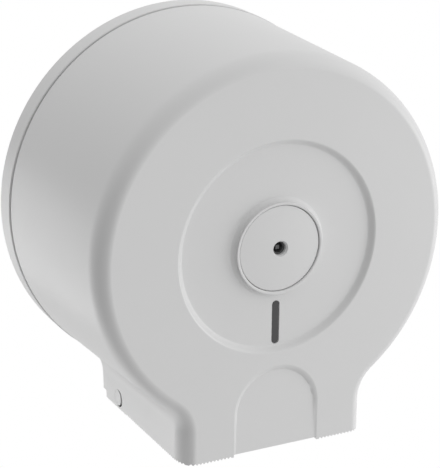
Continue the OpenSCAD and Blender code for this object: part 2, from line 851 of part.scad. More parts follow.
module slot_shape(gap) {
    r = slot_w / 2 - gap;
    translate([-r, -slot_end + slot_w / 2]) square([2 * r, slot_end - slot_top - slot_w]);
    translate([0, -slot_top - slot_w / 2]) circle(r = r);
    translate([0, -slot_end + slot_w / 2]) circle(r = r);
}

module window_pegs(r, from, to) {
    for (side = [-1, 1]) {
        translate([side * peg_span / 2, 0, -(slot_top + slot_end) / 2]) rod(r, from, to);
    }
}

// Slots in the pocket floor for the cap's snap legs, and the legs' places
module leg_places() {
    for (i = [0:2]) {
        rotate([0, 30 + 120 * i, 0]) translate([leg_ring, 0, 0]) children();
    }
}

module cover() color(white) difference() {
    union() {
        difference() {
            cover_form();
            difference() {
                cavity_form();
                rod(recess_r + wall, recess_back, front_depth);
                rod(boss_pad_r, pocket_back, front_depth);
                slab(front_depth - wall - arch_sink, front_depth) arch_shape(wall, chute_drop);
            }
            recess_cut();
        }
        boss_ring();
        window_pegs(peg_r, recess_back - window_t - fit - peg_head_h, recess_back + wall / 2);
        window_pegs(peg_head_r, recess_back - window_t - fit - peg_head_h, recess_back - window_t - fit);
    }
    rod(pocket_r, pocket_floor, boss_top + over);
    rod(housing_r, pocket_back - over, pocket_floor + over);
    around(3, lock_screw_ring, 90)
        sunk_hole(pocket_floor, lock_screw_head_r, lock_screw_r, pocket_back - over);
    leg_places() {
        translate([-leg_t / 2 - leg_gap, -pocket_floor - over, -leg_w / 2 - leg_gap])
            cube([leg_t + 2 * leg_gap, wall + 2 * over, leg_w + 2 * leg_gap]);
    }
    slab(recess_back - over, recess_floor + over) slot_shape(0);
    arch_hollow();
    teeth_cut();
    back_cut();
    hinge_rod(hinge_hole_r, -half_chute - over, -half_chute + wall + over);
    hinge_rod(hinge_hole_r, half_chute - wall - over, half_chute + over);
}

module level_window() color(smoke) {
    top = boss_pad_r + 0.5;
    bottom = slot_end + window_margin;
    difference() {
        union() {
            slab(recess_back - window_t, recess_back)
                translate([-window_w / 2, -bottom]) square([window_w, bottom - top]);
            slab(recess_back - window_t / 2, recess_floor - window_sink) slot_shape(window_gap);
        }
        window_pegs(peg_r + fit, recess_back - window_t - over, recess_back + over);
    }
}

// Lock: cap, housing with its screws, spring, and the barrel with all that turns with it

module lock_cap() color(white) {
    top = front_depth + cap_proud;
    edge = top - cap_dome;
    difference() {
        union() {
            turned() polygon(concat(
                [[0, cap_back], [cap_r - cap_skirt_t, cap_back], [cap_r - cap_skirt_t, pocket_floor],
                 [cap_r, pocket_floor], [cap_r, edge - cap_edge],
                 [cap_r - 0.3 * cap_edge, edge - 0.3 * cap_edge]],
                [for (i = [cap_steps:-1:0])
                    let (r = (cap_r - cap_edge) * i / cap_steps)
                    [r, top - cap_dome * pow(r / cap_r, 2)]]
            ));
            leg_places() {
                translate([-leg_t / 2, -cap_back - over / 2, -leg_w / 2])
                    cube([leg_t, cap_back + over / 2 - pocket_back + leg_tip, leg_w]);
                translate([-leg_t / 2, -pocket_back + leg_gap, -leg_w / 2])
                    cube([leg_t + leg_hook, leg_tip - leg_gap, leg_w]);
            }
        }
        rod(key_throat_r, cap_back - over, top + over);
        turned() polygon([
            [0, top - key_bevel], [key_throat_r, top - key_bevel], [key_mouth_r, top],
            [key_mouth_r, top + over], [0, top + over]
        ]);
    }
}

module lock_housing() color(inner_white) {
    bore = shaft_r + shaft_gap;
    difference() {
        union() {
            rod(housing_r + housing_wall, cup_end, pocket_back);
            slab(pocket_back - housing_t, pocket_back) {
                for (i = [0:2]) {
                    rotate(90 + 120 * i) translate([0, -lug_r]) square([lock_screw_ring, 2 * lug_r]);
                }
                circle(r = housing_r + housing_wall + 1);
            }
            around(3, lock_screw_ring, 90) rod(lug_r, pocket_back - lug_len, pocket_back);
        }
        rod(housing_r, cup_top, pocket_back + over);
        rod(bore, cup_end - over, cup_top + over);
        around(3, lock_screw_ring, 90)
            rod(lock_screw_r + fit, pocket_floor - lock_screw_len - pilot, pocket_back + over);
    }
}

module lock_screws() color(steel) {
    around(3, lock_screw_ring, 90) sunk_screw(pocket_floor, lock_screw_head_r, lock_screw_r, lock_screw_len);
}

// Points of one ring of the spring's wire, square to the coil
function spring_ring(turn, from, to) =
    let (a = 360 * turn, d = mix(from, to, turn / spring_turns))
    [for (k = [0:spring_sides - 1])
        let (b = 360 * k / spring_sides, r = spring_r + spring_wire_r * cos(b))
        [r * cos(a), -(d + spring_wire_r * sin(b)), r * sin(a)]];

module lock_spring() color(steel) {
    from = cup_top + spring_wire_r + fit;
    to = head_back - spring_wire_r - turn_gap;
    skin([for (i = [0:spring_turns * spring_steps]) spring_ring(i / spring_steps, from, to)]);
}

module lock_barrel() color(grey) {
    difference() {
        union() {
            rod(head_r, head_back, barrel_front);
            rod(shaft_r, clip_back, head_back + over);
            rod(neck_r, bar_front, clip_back + over);
            intersection() {
                rod(spigot_r, bar_back + 2 * fit, bar_front + over);
                translate([-spigot_flat / 2, -bar_front - over, -spigot_r])
                    cube([spigot_flat, bar_t + 2 * over, 2 * spigot_r]);
            }
        }
        difference() {
            rod(socket_r, barrel_front - socket_len, barrel_front + over);
            translate([-socket_post / 2, -barrel_front + socket_len / 8, -socket_post / 2])
                cube([socket_post, socket_len, socket_post]);
        }
        difference() {
            rod(shaft_r + over, clip_back, clip_front);
            rod(shaft_r - clip_bite, clip_back - over, clip_front + over);
        }
        rod(bar_screw_r + fit, bar_back - over, bar_back - bar_washer_t + bar_screw_len + pilot);
    }
}

module barrel_clip() color(steel) {
    inner = shaft_r - clip_bite + fit;
    difference() {
        rod(clip_r, clip_back + fit, clip_front - fit);
        rod(inner, clip_back - over, clip_front + over);
        translate([-inner * clip_mouth, -clip_front - over, -clip_r - over])
            cube([2 * inner * clip_mouth, clip_t + 2 * over, clip_r]);
    }
}

module lock_bar() color(steel) {
    difference() {
        intersection() {
            rod(bar_half, bar_back, bar_front);
            translate([-bar_side, -bar_front - over, -bar_half])
                cube([2 * bar_side, bar_t + 2 * over, 2 * bar_half]);
        }
        intersection() {
            rod(spigot_r + fit, bar_back - over, bar_front + over);
            translate([-spigot_flat / 2 - fit, -bar_front - 2 * over, -bar_half])
                cube([spigot_flat + 2 * fit, bar_t + 4 * over, 2 * bar_half]);
        }
    }
}

module bar_washer() color(steel) {
    difference() {
        rod(bar_screw_head_r, bar_back - bar_washer_t, bar_back);
        rod(bar_screw_r + fit, bar_back - bar_washer_t - over, bar_back + over);
    }
}

module bar_screw() color(steel) {
    head = bar_back - bar_washer_t;
    r = bar_screw_head_r - bar_washer_lip;
    difference() {
        union() {
            turned() polygon([
                [0, head - bar_head_h], [2 * r / 3, head - bar_head_h],
                [r, head - bar_head_h / 2], [r, head], [0, head]
            ]);
            rod(bar_screw_r, head - over / 2, head + bar_screw_len);
        }
        for (a = [0, 90]) {
            rotate([0, a, 0])
                translate([-r * cross_span, -head + bar_head_h - cross_h, -cross_w / 2])
                    cube([2 * r * cross_span, cross_h + over, cross_w]);
        }
    }
}

back_plate();
hinge_pin_left();
hinge_pin_right();
hinge_clips();
spindle_post();
post_screws();
hub_washer();
keeper_plate();
keeper_screws();
roll_hub();
cover();
level_window();
lock_cap();
lock_housing();
lock_screws();
lock_spring();
lock_barrel();
barrel_clip();
lock_bar();
bar_washer();
bar_screw();
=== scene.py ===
"""Round wall-mounted toilet roll dispenser, dressed over its packed CAD model.

X points right as seen from the front, the wall is the plane Y = 0 and the front faces -Y.
The origin lies on the wall face, on the axis of the roll spindle. "Depth" is the distance from
the wall, so a depth of d is the plane Y = -d. All lengths are in metres.
"""

import math

import bpy
from bpy.props import FloatProperty, FloatVectorProperty, IntProperty, PointerProperty
from bpy.types import Operator, Panel, PropertyGroup
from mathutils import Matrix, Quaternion, Vector


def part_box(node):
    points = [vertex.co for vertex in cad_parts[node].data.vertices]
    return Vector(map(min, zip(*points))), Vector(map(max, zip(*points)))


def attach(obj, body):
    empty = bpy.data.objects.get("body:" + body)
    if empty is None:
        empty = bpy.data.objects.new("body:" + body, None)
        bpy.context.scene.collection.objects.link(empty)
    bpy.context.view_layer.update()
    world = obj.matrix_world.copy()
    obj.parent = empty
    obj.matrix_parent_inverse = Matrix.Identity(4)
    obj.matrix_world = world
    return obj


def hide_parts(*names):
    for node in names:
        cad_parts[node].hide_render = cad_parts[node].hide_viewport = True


bl_info = {
    "name": "Toilet Roll Dispenser",
    "version": (1, 0, 0),
    "blender": (4, 5, 0),
    "location": "3D View > Sidebar > Dispenser",
    "description": "Builds a round wall-mounted toilet roll dispenser piece by piece",
    "category": "Add Mesh",
}

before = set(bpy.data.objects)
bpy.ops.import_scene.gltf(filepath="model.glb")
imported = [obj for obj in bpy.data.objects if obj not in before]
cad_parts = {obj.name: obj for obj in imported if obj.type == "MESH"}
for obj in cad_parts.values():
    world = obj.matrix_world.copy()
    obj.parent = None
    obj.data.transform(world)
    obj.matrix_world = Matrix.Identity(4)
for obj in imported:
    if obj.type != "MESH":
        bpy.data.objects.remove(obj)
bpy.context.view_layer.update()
COVER_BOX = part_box("cover")
CAP_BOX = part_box("lock_cap")

# How close to a plane a vertex counts as on it, and how close two vertices are one
ON_PLANE = 1e-5
SAME_POINT = 1e-6

# How far a cutter reaches past the face that it cuts
REACH = 0.001

# Faces round a turned form: cover front and cap, what backs them, hinge pins, small holes
FRONT_ROUND = 192
BACKING_ROUND = 128
PIN_ROUND = 96
SMALL_ROUND = 32

# Height of the upright lip round the top of the lock boss
BOSS_LIP = 0.0004

# Where the lock screws and the cap's snap legs stand round the axis, in degrees
SCREW_ANGLES = (90, 210, 330)
LEG_ANGLES = (-30, -150, -270)

# How much the roughness drifts over a moulded and over a plated surface
MOULDED_DRIFT = 0.16
PLATED_DRIFT = 0.3

# The camera's place and aim, its roll in degrees, focal length and sensor in mm, its shift and
# how far it sees
CAMERA_PLACE = Vector((-0.4667, -0.9723, 0.3438))
CAMERA_AIM = Vector((0.0101, -0.045, -0.0207))
CAMERA_ROLL = 0.5
CAMERA_LENS = 141.84
CAMERA_SENSOR = 36
CAMERA_SHIFT = (-0.0049, -0.0017)
CAMERA_REACH = 20

# What the lamps aim at, and each lamp's name, turn to the left and rise in degrees, distance,
# size and power
LAMP_AIM = Vector((0, -0.06, 0))
LAMPS = (
    ("right_lamp", -60, -5, 0.75, 0.5, 1.2),
    ("low_lamp", 130, -50, 0.5, 0.4, 0.25),
    ("back_lamp", 152, -20, 1.6, 1.0, 2.8),
)

# The floor's side, its height and the number of cuts across it
FLOOR_SIZE = 2.4
FLOOR_LEVEL = -1.0
FLOOR_CUTS = 4


# Settings


def length(name, description, default):
    return FloatProperty(
        name=name, description=description, default=default, unit="LENGTH", precision=5
    )


def colour(name, description, default):
    return FloatVectorProperty(
        name=name,
        description=description,
        default=default,
        size=3,
        min=0,
        max=1,
        subtype="COLOR",
    )


class CasingSizes(PropertyGroup):
    """Sizes of the cover's drum and chute."""

    cover_radius: length("Cover radius", "Outer radius of the drum at the groove", COVER_BOX[1].x)
    cover_back: length("Back edge", "Depth of the cover's back edge", -COVER_BOX[1].y)
    front_depth: length("Front depth", "Depth of the cover's front face", 0.134)
    taper: length("Taper", "How much the drum narrows from the groove to its front", 0.0036)
    edge_width: length("Front edge width", "Width of the front edge's round", 0.0082)
    edge_depth: length("Front edge depth", "Depth of the front edge's round", 0.0135)
    wall: length("Wall", "Wall thickness of the cover", 0.0028)
    groove_bevel: length("Groove bevel", "Bevel on the cover's edge at the groove", 0.0009)
    half_chute: length("Half chute", "Half the outer width of the chute", 0.0585)
    chute_drop: length("Chute drop", "How far below the axis the chute ends", -COVER_BOX[0].z)
    blend: length("Corner blend", "Round in the corner between drum and chute", 0.020)
    side_back: length("Side wall back", "Depth of the side walls' back edges", 0.0205)
    side_lean: length("Side wall lean", "How much further forward those edges end", 0.0014)
    step_drop: length("Step", "Where the cover's back edge steps forward below the axis", 0.09798)
    heel_back: length("Heel depth", "Depth of the notch in the side walls' back corner", 0.026)
    heel_height: length("Heel height", "Height of that notch", 0.0045)


class DetailSizes(PropertyGroup):
    """Sizes of what is let into the cover."""

    recess_radius: length("Recess radius", "Radius of the round recess", 0.0619)
    recess_sink: length("Recess depth", "How deep the recess is", 0.0031)
    recess_slope: length("Recess slope", "Width of the recess's sloping edge", 0.0026)
    boss_radius: length("Boss foot", "Radius of the lock boss at its foot", 0.0293)
    boss_top_radius: length("Boss top", "Radius of the lock boss at its top", 0.0268)
    boss_proud: length("Boss height", "How far the boss stands proud of the front face", 0.0009)
    pocket_radius: length("Pocket radius", "Radius of the pocket for the lock cap", 0.0251)
    pocket_sink: length("Pocket depth", "Depth of that pocket behind the front face", 0.0039)
    housing_radius: length("Housing bore", "Radius of the lock housing's bore", 0.011)
    slot_width: length("Slot width", "Width of the level window's slot", 0.0044)
    slot_top: length("Slot top", "Top of that slot below the axis", 0.0322)
    slot_end: length("Slot end", "Bottom of that slot below the axis", 0.0579)
    arch_width: length("Arch width", "Width of the arched hollow", 0.054)
    arch_top: length("Arch top", "Top of the arched hollow below the axis", 0.0702)
    arch_sink: length("Arch depth", "How deep the hollow is at its top", 0.0024)
    arch_end_sink: length("Arch end depth", "How deep it is at the bottom edge", 0.0005)
    arch_lift: length("Arch lift", "How much higher the edge under the arch lies", 0.0014)
    tooth_pitch: length("Tooth pitch", "Distance between two tear teeth", 0.0022)
    tooth_height: length("Tooth height", "Height of a tear tooth", 0.001)
    peg_radius: length("Peg radius", "Radius of the pegs that hold the window", 0.0012)
    peg_span: length("Peg span", "Distance between those pegs", 0.011)


class LockSizes(PropertyGroup):
    """Sizes of the lock cap, the hinge and the lock spring."""

    cap_radius: length("Cap radius", "Radius of the lock cap", 0.0248)
    cap_top: length("Cap top", "Depth of the cap's middle", -CAP_BOX[0].y)
    cap_dome: length("Cap dome", "Rise of the cap's dome", 0.001)
    cap_thickness: length("Cap thickness", "Thickness of the cap in the middle", 0.0028)
    key_mouth: length("Key mouth", "Radius of the key hole at the cap's face", 0.0047)
    key_throat: length("Key throat", "Radius of the key hole behind its bevel", 0.0039)
    key_bevel: length("Key bevel", "Depth of that bevel", 0.0012)
    leg_ring: length("Leg ring", "Radius on which the cap's snap legs lie", 0.022)
    pin_radius: length("Pin radius", "Radius of the hinge pins' heads", 0.00525)
    pin_gap: length("Pin gap", "Gap in front of the pins' heads", 0.0021)
    hinge_depth: length("Hinge depth", "Depth of the hinge axis", 0.044)
    hinge_drop: length("Hinge drop", "How far below the spindle axis the hinge axis lies", 0.1156)
    wire_radius: length("Wire radius", "Wire radius of the lock spring", 0.0006)
    spring_radius: length("Spring radius", "Radius of its coils", 0.0085)
    spring_turns: IntProperty(
        name="Turns", description="Turns of the lock spring", default=4, min=2, max=8
    )


class Finishes(PropertyGroup):
    """Colours of the dispenser and its stage."""

    white: colour("White", "Moulded cover, back plate and cap", (0.70, 0.70, 0.70))
    inner: colour("Inner white", "Moulded inner pieces", (0.60, 0.60, 0.61))
    grey: colour("Grey", "Roll hub and washer", (0.22, 0.235, 0.26))
    dark: colour("Dark", "Lock barrel", (0.12, 0.12, 0.122))
    smoke: colour("Smoke", "Level window", (0.03, 0.03, 0.032))
    zinc: colour("Zinc", "Screws, clips, keeper and lock bar", (0.52, 0.53, 0.55))
    spring: colour("Spring steel", "Spring and barrel clip", (0.36, 0.36, 0.38))
    floor: colour("Floor", "Floor of the stage", (0.82, 0.82, 0.82))


# Modelling helpers


def set_mode(mode):
    bpy.ops.object.mode_set(mode=mode)


def to_objects():
    """Leaves edit mode and deselects everything."""
    if bpy.context.object is not None and bpy.context.object.mode != "OBJECT":
        set_mode("OBJECT")
    bpy.ops.object.select_all(action="DESELECT")


def make_active(piece):
    to_objects()
    piece.select_set(True)
    bpy.context.view_layer.objects.active = piece


def to_edit(piece):
    make_active(piece)
    set_mode("EDIT")
    bpy.ops.mesh.select_all(action="DESELECT")


def select_all():
    """In edit mode, selects the whole mesh."""
    bpy.ops.mesh.select_all(action="SELECT")


def extrude(shift):
    """In edit mode, extrudes what is selected along a vector."""
    bpy.ops.mesh.extrude_region_move(TRANSFORM_OT_translate={"value": shift})


def select_depth(piece, depth):
    """In edit mode, selects the vertices at a depth, with their edges and faces."""
    bpy.ops.mesh.select_all(action="DESELECT")
    bpy.ops.mesh.select_mode(type="VERT")
    set_mode("OBJECT")
    for point in piece.data.vertices:
        point.select = abs(point.co.y + depth) < ON_PLANE
    set_mode("EDIT")


def set_into_mesh(piece, **settings):
    """Gives a piece a place, turn or scale and sets that into its mesh."""
    make_active(piece)
    for key, value in settings.items():
        setattr(piece, key, value)
    bpy.ops.object.transform_apply(location=True, rotation=True, scale=True)
    return piece


def new_primitive(operator, name, **settings):
    """Adds a primitive under a name and sets its place into its mesh."""
    to_objects()
    operator(**settings)
    piece = bpy.context.object
    piece.name = name
    bpy.ops.object.transform_apply(location=True, rotation=True, scale=True)
    return piece


def start_line(name, at):
    """A new piece in edit mode that holds one selected vertex."""
    piece = new_primitive(bpy.ops.mesh.primitive_plane_add, name, size=0.001)
    set_mode("EDIT")
    select_all()
    bpy.ops.mesh.merge(type="CENTER")
    bpy.ops.transform.translate(value=at)
    return piece


def draw_line(name, points):
    """A new piece in edit mode: an edge chain through the points, extruded vertex by vertex."""
    piece = start_line(name, points[0])
    for before, after in zip(points, points[1:]):
        step = Vector(after) - Vector(before)
        extrude(step)
    return piece


def fill_line():
    select_all()
    bpy.ops.mesh.edge_face_add()


def close_shell(piece):
    """Merges doubles and turns all faces outwards, then leaves edit mode."""
    select_all()
    bpy.ops.mesh.remove_doubles(threshold=SAME_POINT)
    bpy.ops.mesh.normals_make_consistent(inside=False)
    set_mode("OBJECT")
    return piece


def prism(name, points, shift):
    """A closed outline, filled and extruded along a vector."""
    piece = draw_line(name, points)
    fill_line()
    extrude(shift)
    return close_shell(piece)


def turned(name, profile, steps, at=(0, 0)):
    """Spins a profile of (radius, depth) about an axis along the depth, at (x, z)."""
    x, z = at
    piece = draw_line(name, [(x + r, -d, z) for r, d in profile])
    select_all()
    bpy.ops.mesh.remove_doubles(threshold=SAME_POINT)
    bpy.ops.mesh.spin(
        steps=steps, angle=math.tau, center=(x, 0, z), axis=(0, 1, 0), use_auto_merge=True
    )
    return close_shell(piece)


def disc(name, steps, radius, back, front):
    """A cylinder along the depth, between two depths."""
    return new_primitive(
        bpy.ops.mesh.primitive_cylinder_add,
        name,
        vertices=steps,
        radius=radius,
        depth=front - back,
        location=(0, -(front + back) / 2, 0),
        rotation=(math.pi / 2, 0, 0),
    )


def rounded(corners, steps=4):
    """Points of a line through (a, b, radius) corners, with an arc of that radius in each."""
    points = []
    for i, (a, b, radius) in enumerate(corners):
        corner = Vector((a, b))
        if radius <= 0 or i in (0, len(corners) - 1):
            points.append((a, b))
            continue
        before = (Vector(corners[i - 1][:2]) - corner).normalized()
        after = (Vector(corners[i + 1][:2]) - corner).normalized()
        half = before.angle(after) / 2
        centre = corner + (before + after).normalized() * radius / math.sin(half)
        start = corner + before * radius / math.tan(half) - centre
        end = corner + after * radius / math.tan(half) - centre
        turn = start.angle_signed(end)
        for k in range(steps + 1):
            angle = -turn * k / steps
            points.append(
                (
                    centre.x + start.x * math.cos(angle) - start.y * math.sin(angle),
                    centre.y + start.x * math.sin(angle) + start.y * math.cos(angle),
                )
            )
    return points


def combine(piece, tool, operation):
    """Applies a Boolean with another piece, which is used up."""
    make_active(piece)
    bpy.ops.object.modifier_add(type="BOOLEAN")
    modifier = piece.modifiers[-1]
    modifier.object = tool
    modifier.operation = operation
    modifier.solver = "EXACT"
    bpy.ops.object.modifier_apply(modifier=modifier.name)
    bpy.data.objects.remove(tool)
    if not piece.data.polygons:
        raise RuntimeError(f"{piece.name} has no faces left after {operation.lower()}")


def cut(piece, tool):
    combine(piece, tool, "DIFFERENCE")


def add(piece, tool):
    combine(piece, tool, "UNION")


def smooth(piece, degrees=50):
    """Shades smooth below an angle and keeps flat faces flat."""
    make_active(piece)
    bpy.ops.object.shade_smooth_by_angle(angle=math.radians(degrees))
    bpy.ops.object.modifier_add(type="WEIGHTED_NORMAL")
    piece.modifiers[-1].keep_sharp = True
    bpy.ops.object.modifier_apply(modifier=piece.modifiers[-1].name)


def finish_piece(piece, body, material, cad_node):
    """Gives a piece its material, lets it ride on its body and stand for its CAD node."""
    piece.data.materials.clear()
    piece.data.materials.append(material)
    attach(piece, body)
    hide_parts(cad_node)
    to_objects()


def dress(names, material):
    """Gives CAD nodes a material."""
    for name in names:
        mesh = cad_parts[name].data
        mesh.materials.clear()
        mesh.materials.append(material)


# Materials


SURFACE_OUTPUTS = (
    ("Colour", "NodeSocketColor"),
    ("Roughness", "NodeSocketFloat"),
    ("Height", "NodeSocketFloat"),
)


def new_group(name, inputs):
    """A node group with a surface's outputs; returns it with its input and output nodes."""
    group = bpy.data.node_groups.new(name, "ShaderNodeTree")
    for label, kind, default in inputs:
        socket = group.interface.new_socket(label, in_out="INPUT", socket_type=kind)
        if default is not None:
            socket.default_value = default
    for label, kind in SURFACE_OUTPUTS:
        group.interface.new_socket(label, in_out="OUTPUT", socket_type=kind)
    return group, group.nodes.new("NodeGroupInput"), group.nodes.new("NodeGroupOutput")


def node(tree, kind, links=(), **settings):
    """A node of that kind with properties set and inputs linked or given."""
    made = tree.nodes.new(kind)
    for key, value in settings.items():
        setattr(made, key, value)
    for key, value in dict(links).items():
        if isinstance(value, bpy.types.NodeSocket):
            tree.links.new(value, made.inputs[key])
        else:
            made.inputs[key].default_value = value
    return made


def math_node(tree, operation, a, b=0.0, c=None):
    links = {0: a, 1: b} if c is None else {0: a, 1: b, 2: c}
    return node(tree, "ShaderNodeMath", links, operation=operation).outputs[0]


def moulded_group():
    """Fine grain and slow flow marks of a moulded plastic surface."""
    if "Moulded Surface" in bpy.data.node_groups:
        return bpy.data.node_groups["Moulded Surface"]
    group, start, end = new_group(
        "Moulded Surface",
        [
            ("Place", "NodeSocketVector", None),
            ("Colour", "NodeSocketColor", (0.8, 0.8, 0.8, 1)),
            ("Roughness", "NodeSocketFloat", 0.4),
            ("Grain Scale", "NodeSocketFloat", 1500.0),
            ("Grain Amount", "NodeSocketFloat", 0.5),
            ("Flow Amount", "NodeSocketFloat", 0.02),
        ],
    )
    grain = node(
        group,
        "ShaderNodeTexNoise",
        {"Vector": start.outputs["Place"], "Scale": start.outputs["Grain Scale"], "Detail": 2.0},
    )
    flow = node(
        group,
        "ShaderNodeTexNoise",
        {"Vector": start.outputs["Place"], "Scale": 14.0, "Detail": 3.0, "Roughness": 0.6},
    )
    drift = math_node(group, "SUBTRACT", flow.outputs["Fac"], 0.5)
    shade = math_node(group, "MULTIPLY_ADD", drift, start.outputs["Flow Amount"], 1.0)
    tint = node(
        group,
        "ShaderNodeVectorMath",
        {0: start.outputs["Colour"], "Scale": shade},
        operation="SCALE",
    )
    roughness = start.outputs["Roughness"]
    rough = math_node(group, "MULTIPLY_ADD", drift, MOULDED_DRIFT, roughness)
    height = math_node(group, "MULTIPLY", grain.outputs["Fac"], start.outputs["Grain Amount"])
    group.links.new(tint.outputs["Vector"], end.inputs["Colour"])
    group.links.new(rough, end.inputs["Roughness"])
    group.links.new(height, end.inputs["Height"])
    return group


def plated_group():
    """Mottled crystals and fine drawing lines of a plated metal surface."""
    if "Plated Surface" in bpy.data.node_groups:
        return bpy.data.node_groups["Plated Surface"]
    group, start, end = new_group(
        "Plated Surface",
        [
            ("Place", "NodeSocketVector", None),
            ("Colour", "NodeSocketColor", (0.6, 0.6, 0.6, 1)),
            ("Second Colour", "NodeSocketColor", (0.5, 0.5, 0.5, 1)),
            ("Roughness", "NodeSocketFloat", 0.35),
            ("Crystal Scale", "NodeSocketFloat", 600.0),
            ("Line Amount", "NodeSocketFloat", 0.3),
        ],
    )
    crystals = node(
        group,
        "ShaderNodeTexVoronoi",
        {"Vector": start.outputs["Place"], "Scale": start.outputs["Crystal Scale"]},
    )
    patch = node(
        group,
        "ShaderNodeTexNoise",
        {"Vector": start.outputs["Place"], "Scale": 90.0, "Detail": 4.0},
    )
    stretch = node(
        group,
        "ShaderNodeMapping",
        {"Vector": start.outputs["Place"], "Scale": (3000.0, 120.0, 3000.0)},
    )
    lines = node(
        group,
        "ShaderNodeTexNoise",
        {"Vector": stretch.outputs["Vector"], "Scale": 1.0, "Detail": 2.0},
    )
    spread = math_node(group, "MULTIPLY", crystals.outputs["Distance"], patch.outputs["Fac"])
    # The Mix node's colours are its inputs 6 and 7 and its output 2
    tint = node(
        group,
        "ShaderNodeMix",
        {"Factor": spread, 6: start.outputs["Colour"], 7: start.outputs["Second Colour"]},
        data_type="RGBA",
    )
    shift = math_node(group, "SUBTRACT", patch.outputs["Fac"], 0.5)
    roughness = start.outputs["Roughness"]
    rough = math_node(group, "MULTIPLY_ADD", shift, PLATED_DRIFT, roughness)
    height = math_node(group, "MULTIPLY", lines.outputs["Fac"], start.outputs["Line Amount"])
    group.links.new(tint.outputs[2], end.inputs["Colour"])
    group.links.new(rough, end.inputs["Roughness"])
    group.links.new(height, end.inputs["Height"])
    return group


def surface_material(name, group, values, bump, shader_values):
    """A Principled material whose colour, roughness and bump come from a surface group."""
    if name in bpy.data.materials:
        return bpy.data.materials[name]
    material = bpy.data.materials.new(name)
    material.use_nodes = True
    tree = material.node_tree
    shader = next(n for n in tree.nodes if n.type == "BSDF_PRINCIPLED")
    place = tree.nodes.new("ShaderNodeTexCoord")
    surface = tree.nodes.new("ShaderNodeGroup")
    surface.node_tree = group
    tree.links.new(place.outputs["Object"], surface.inputs["Place"])
    for key, value in values.items():
        surface.inputs[key].default_value = value
    relief = node(
        tree,
        "ShaderNodeBump",
        {"Height": surface.outputs["Height"], "Strength": 1.0, "Distance": bump},
    )
    tree.links.new(surface.outputs["Colour"], shader.inputs["Base Color"])
    tree.links.new(surface.outputs["Roughness"], shader.inputs["Roughness"])
    tree.links.new(relief.outputs["Normal"], shader.inputs["Normal"])
    for key, value in shader_values.items():
        shader.inputs[key].default_value = value
    material.diffuse_color = values["Colour"]
    return material


def finish_colour(name):
    """One of the colours that the sidebar lists."""
    return getattr(bpy.context.scene.dispenser_finishes, name)


def moulded(name, colour_name, roughness, grain, amount, flow, bump, **shader_values):
    """A moulded plastic; grain is the grain's scale and bump its height."""
    values = {
        "Colour": (*finish_colour(colour_name), 1),
        "Roughness": roughness,
        "Grain Scale": grain,
        "Grain Amount": amount,
        "Flow Amount": flow,
    }
    return surface_material(name, moulded_group(), values, bump, shader_values)


def plated(name, colour_name, shade, roughness, crystals, lines, bump):
    """A plated metal, mottled with its colour times a shade; crystals is their scale."""
    tone = finish_colour(colour_name)
    values = {
        "Colour": (*tone, 1),
        "Second Colour": (*(part * share for part, share in zip(tone, shade)), 1),
        "Roughness": roughness,
        "Crystal Scale": crystals,
        "Line Amount": lines,
    }
    return surface_material(name, plated_group(), values, bump, {"Metallic": 1.0})


def white_plastic():
    return moulded(
        "White Plastic", "white", roughness=0.36, grain=1400.0, amount=0.5, flow=0.03, bump=0.00002
    )


def inner_plastic():
    return moulded(
        "Inner Plastic", "inner", roughness=0.48, grain=1100.0, amount=0.6, flow=0.04, bump=0.00003
    )


def grey_plastic():
    return moulded(
        "Grey Plastic", "grey", roughness=0.55, grain=800.0, amount=0.8, flow=0.06, bump=0.00005
    )


def dark_plastic():
    return moulded(
        "Dark Plastic", "dark", roughness=0.42, grain=1200.0, amount=0.6, flow=0.1, bump=0.00003
    )


def smoked_plastic():
    coat = {"Coat Weight": 0.6, "Coat Roughness": 0.05}
    return moulded(
        "Smoked Window",
        "smoke",
        roughness=0.16,
        grain=300.0,
        amount=0.2,
        flow=0.05,
        bump=0.00001,
        **coat,
    )


def zinc_plate():
    shade = (0.8, 0.81, 0.86)
    return plated(
        "Zinc Plate", "zinc", shade, roughness=0.34, crystals=700.0, lines=0.3, bump=0.00001
    )


def spring_steel():
    shade = (0.7, 0.7, 0.72)
    return plated(
        "Spring Steel", "spring", shade, roughness=0.3, crystals=900.0, lines=0.5, bump=0.00001
    )


# Forms of the cover


def drum_radius(sizes, depth):
    """Outer radius of the tapering drum at a depth."""
    share = (depth - sizes.cover_back) / (sizes.front_depth - sizes.cover_back)
    return sizes.cover_radius - sizes.taper * share


def casing_outline(sizes, name, depth, inset, bottom):
    """Outline of drum and chute at a depth, drawn in by an inset: sides, corner blends and drum."""
    blend_steps, drum_steps = 10, 180
    radius = drum_radius(sizes, depth) - inset
    half = sizes.half_chute - inset
    blend = sizes.blend + inset
    level = -math.sqrt((radius + blend) ** 2 - (half + blend) ** 2)
    lean = -math.atan2(level, half + blend)
    piece = start_line(name, (half, -depth, -bottom))
    extrude((0, 0, level + bottom))
    for steps, angle, x, z, way in (
        (blend_steps, lean, half + blend, level, -1),
        (drum_steps, math.pi + 2 * lean, 0, 0, 1),
        (blend_steps, lean, -half - blend, level, -1),
    ):
        bpy.ops.mesh.spin(steps=steps, angle=angle, center=(x, -depth, z), axis=(0, way, 0))
    extrude((0, 0, -level - bottom))
    fill_line()
    return piece


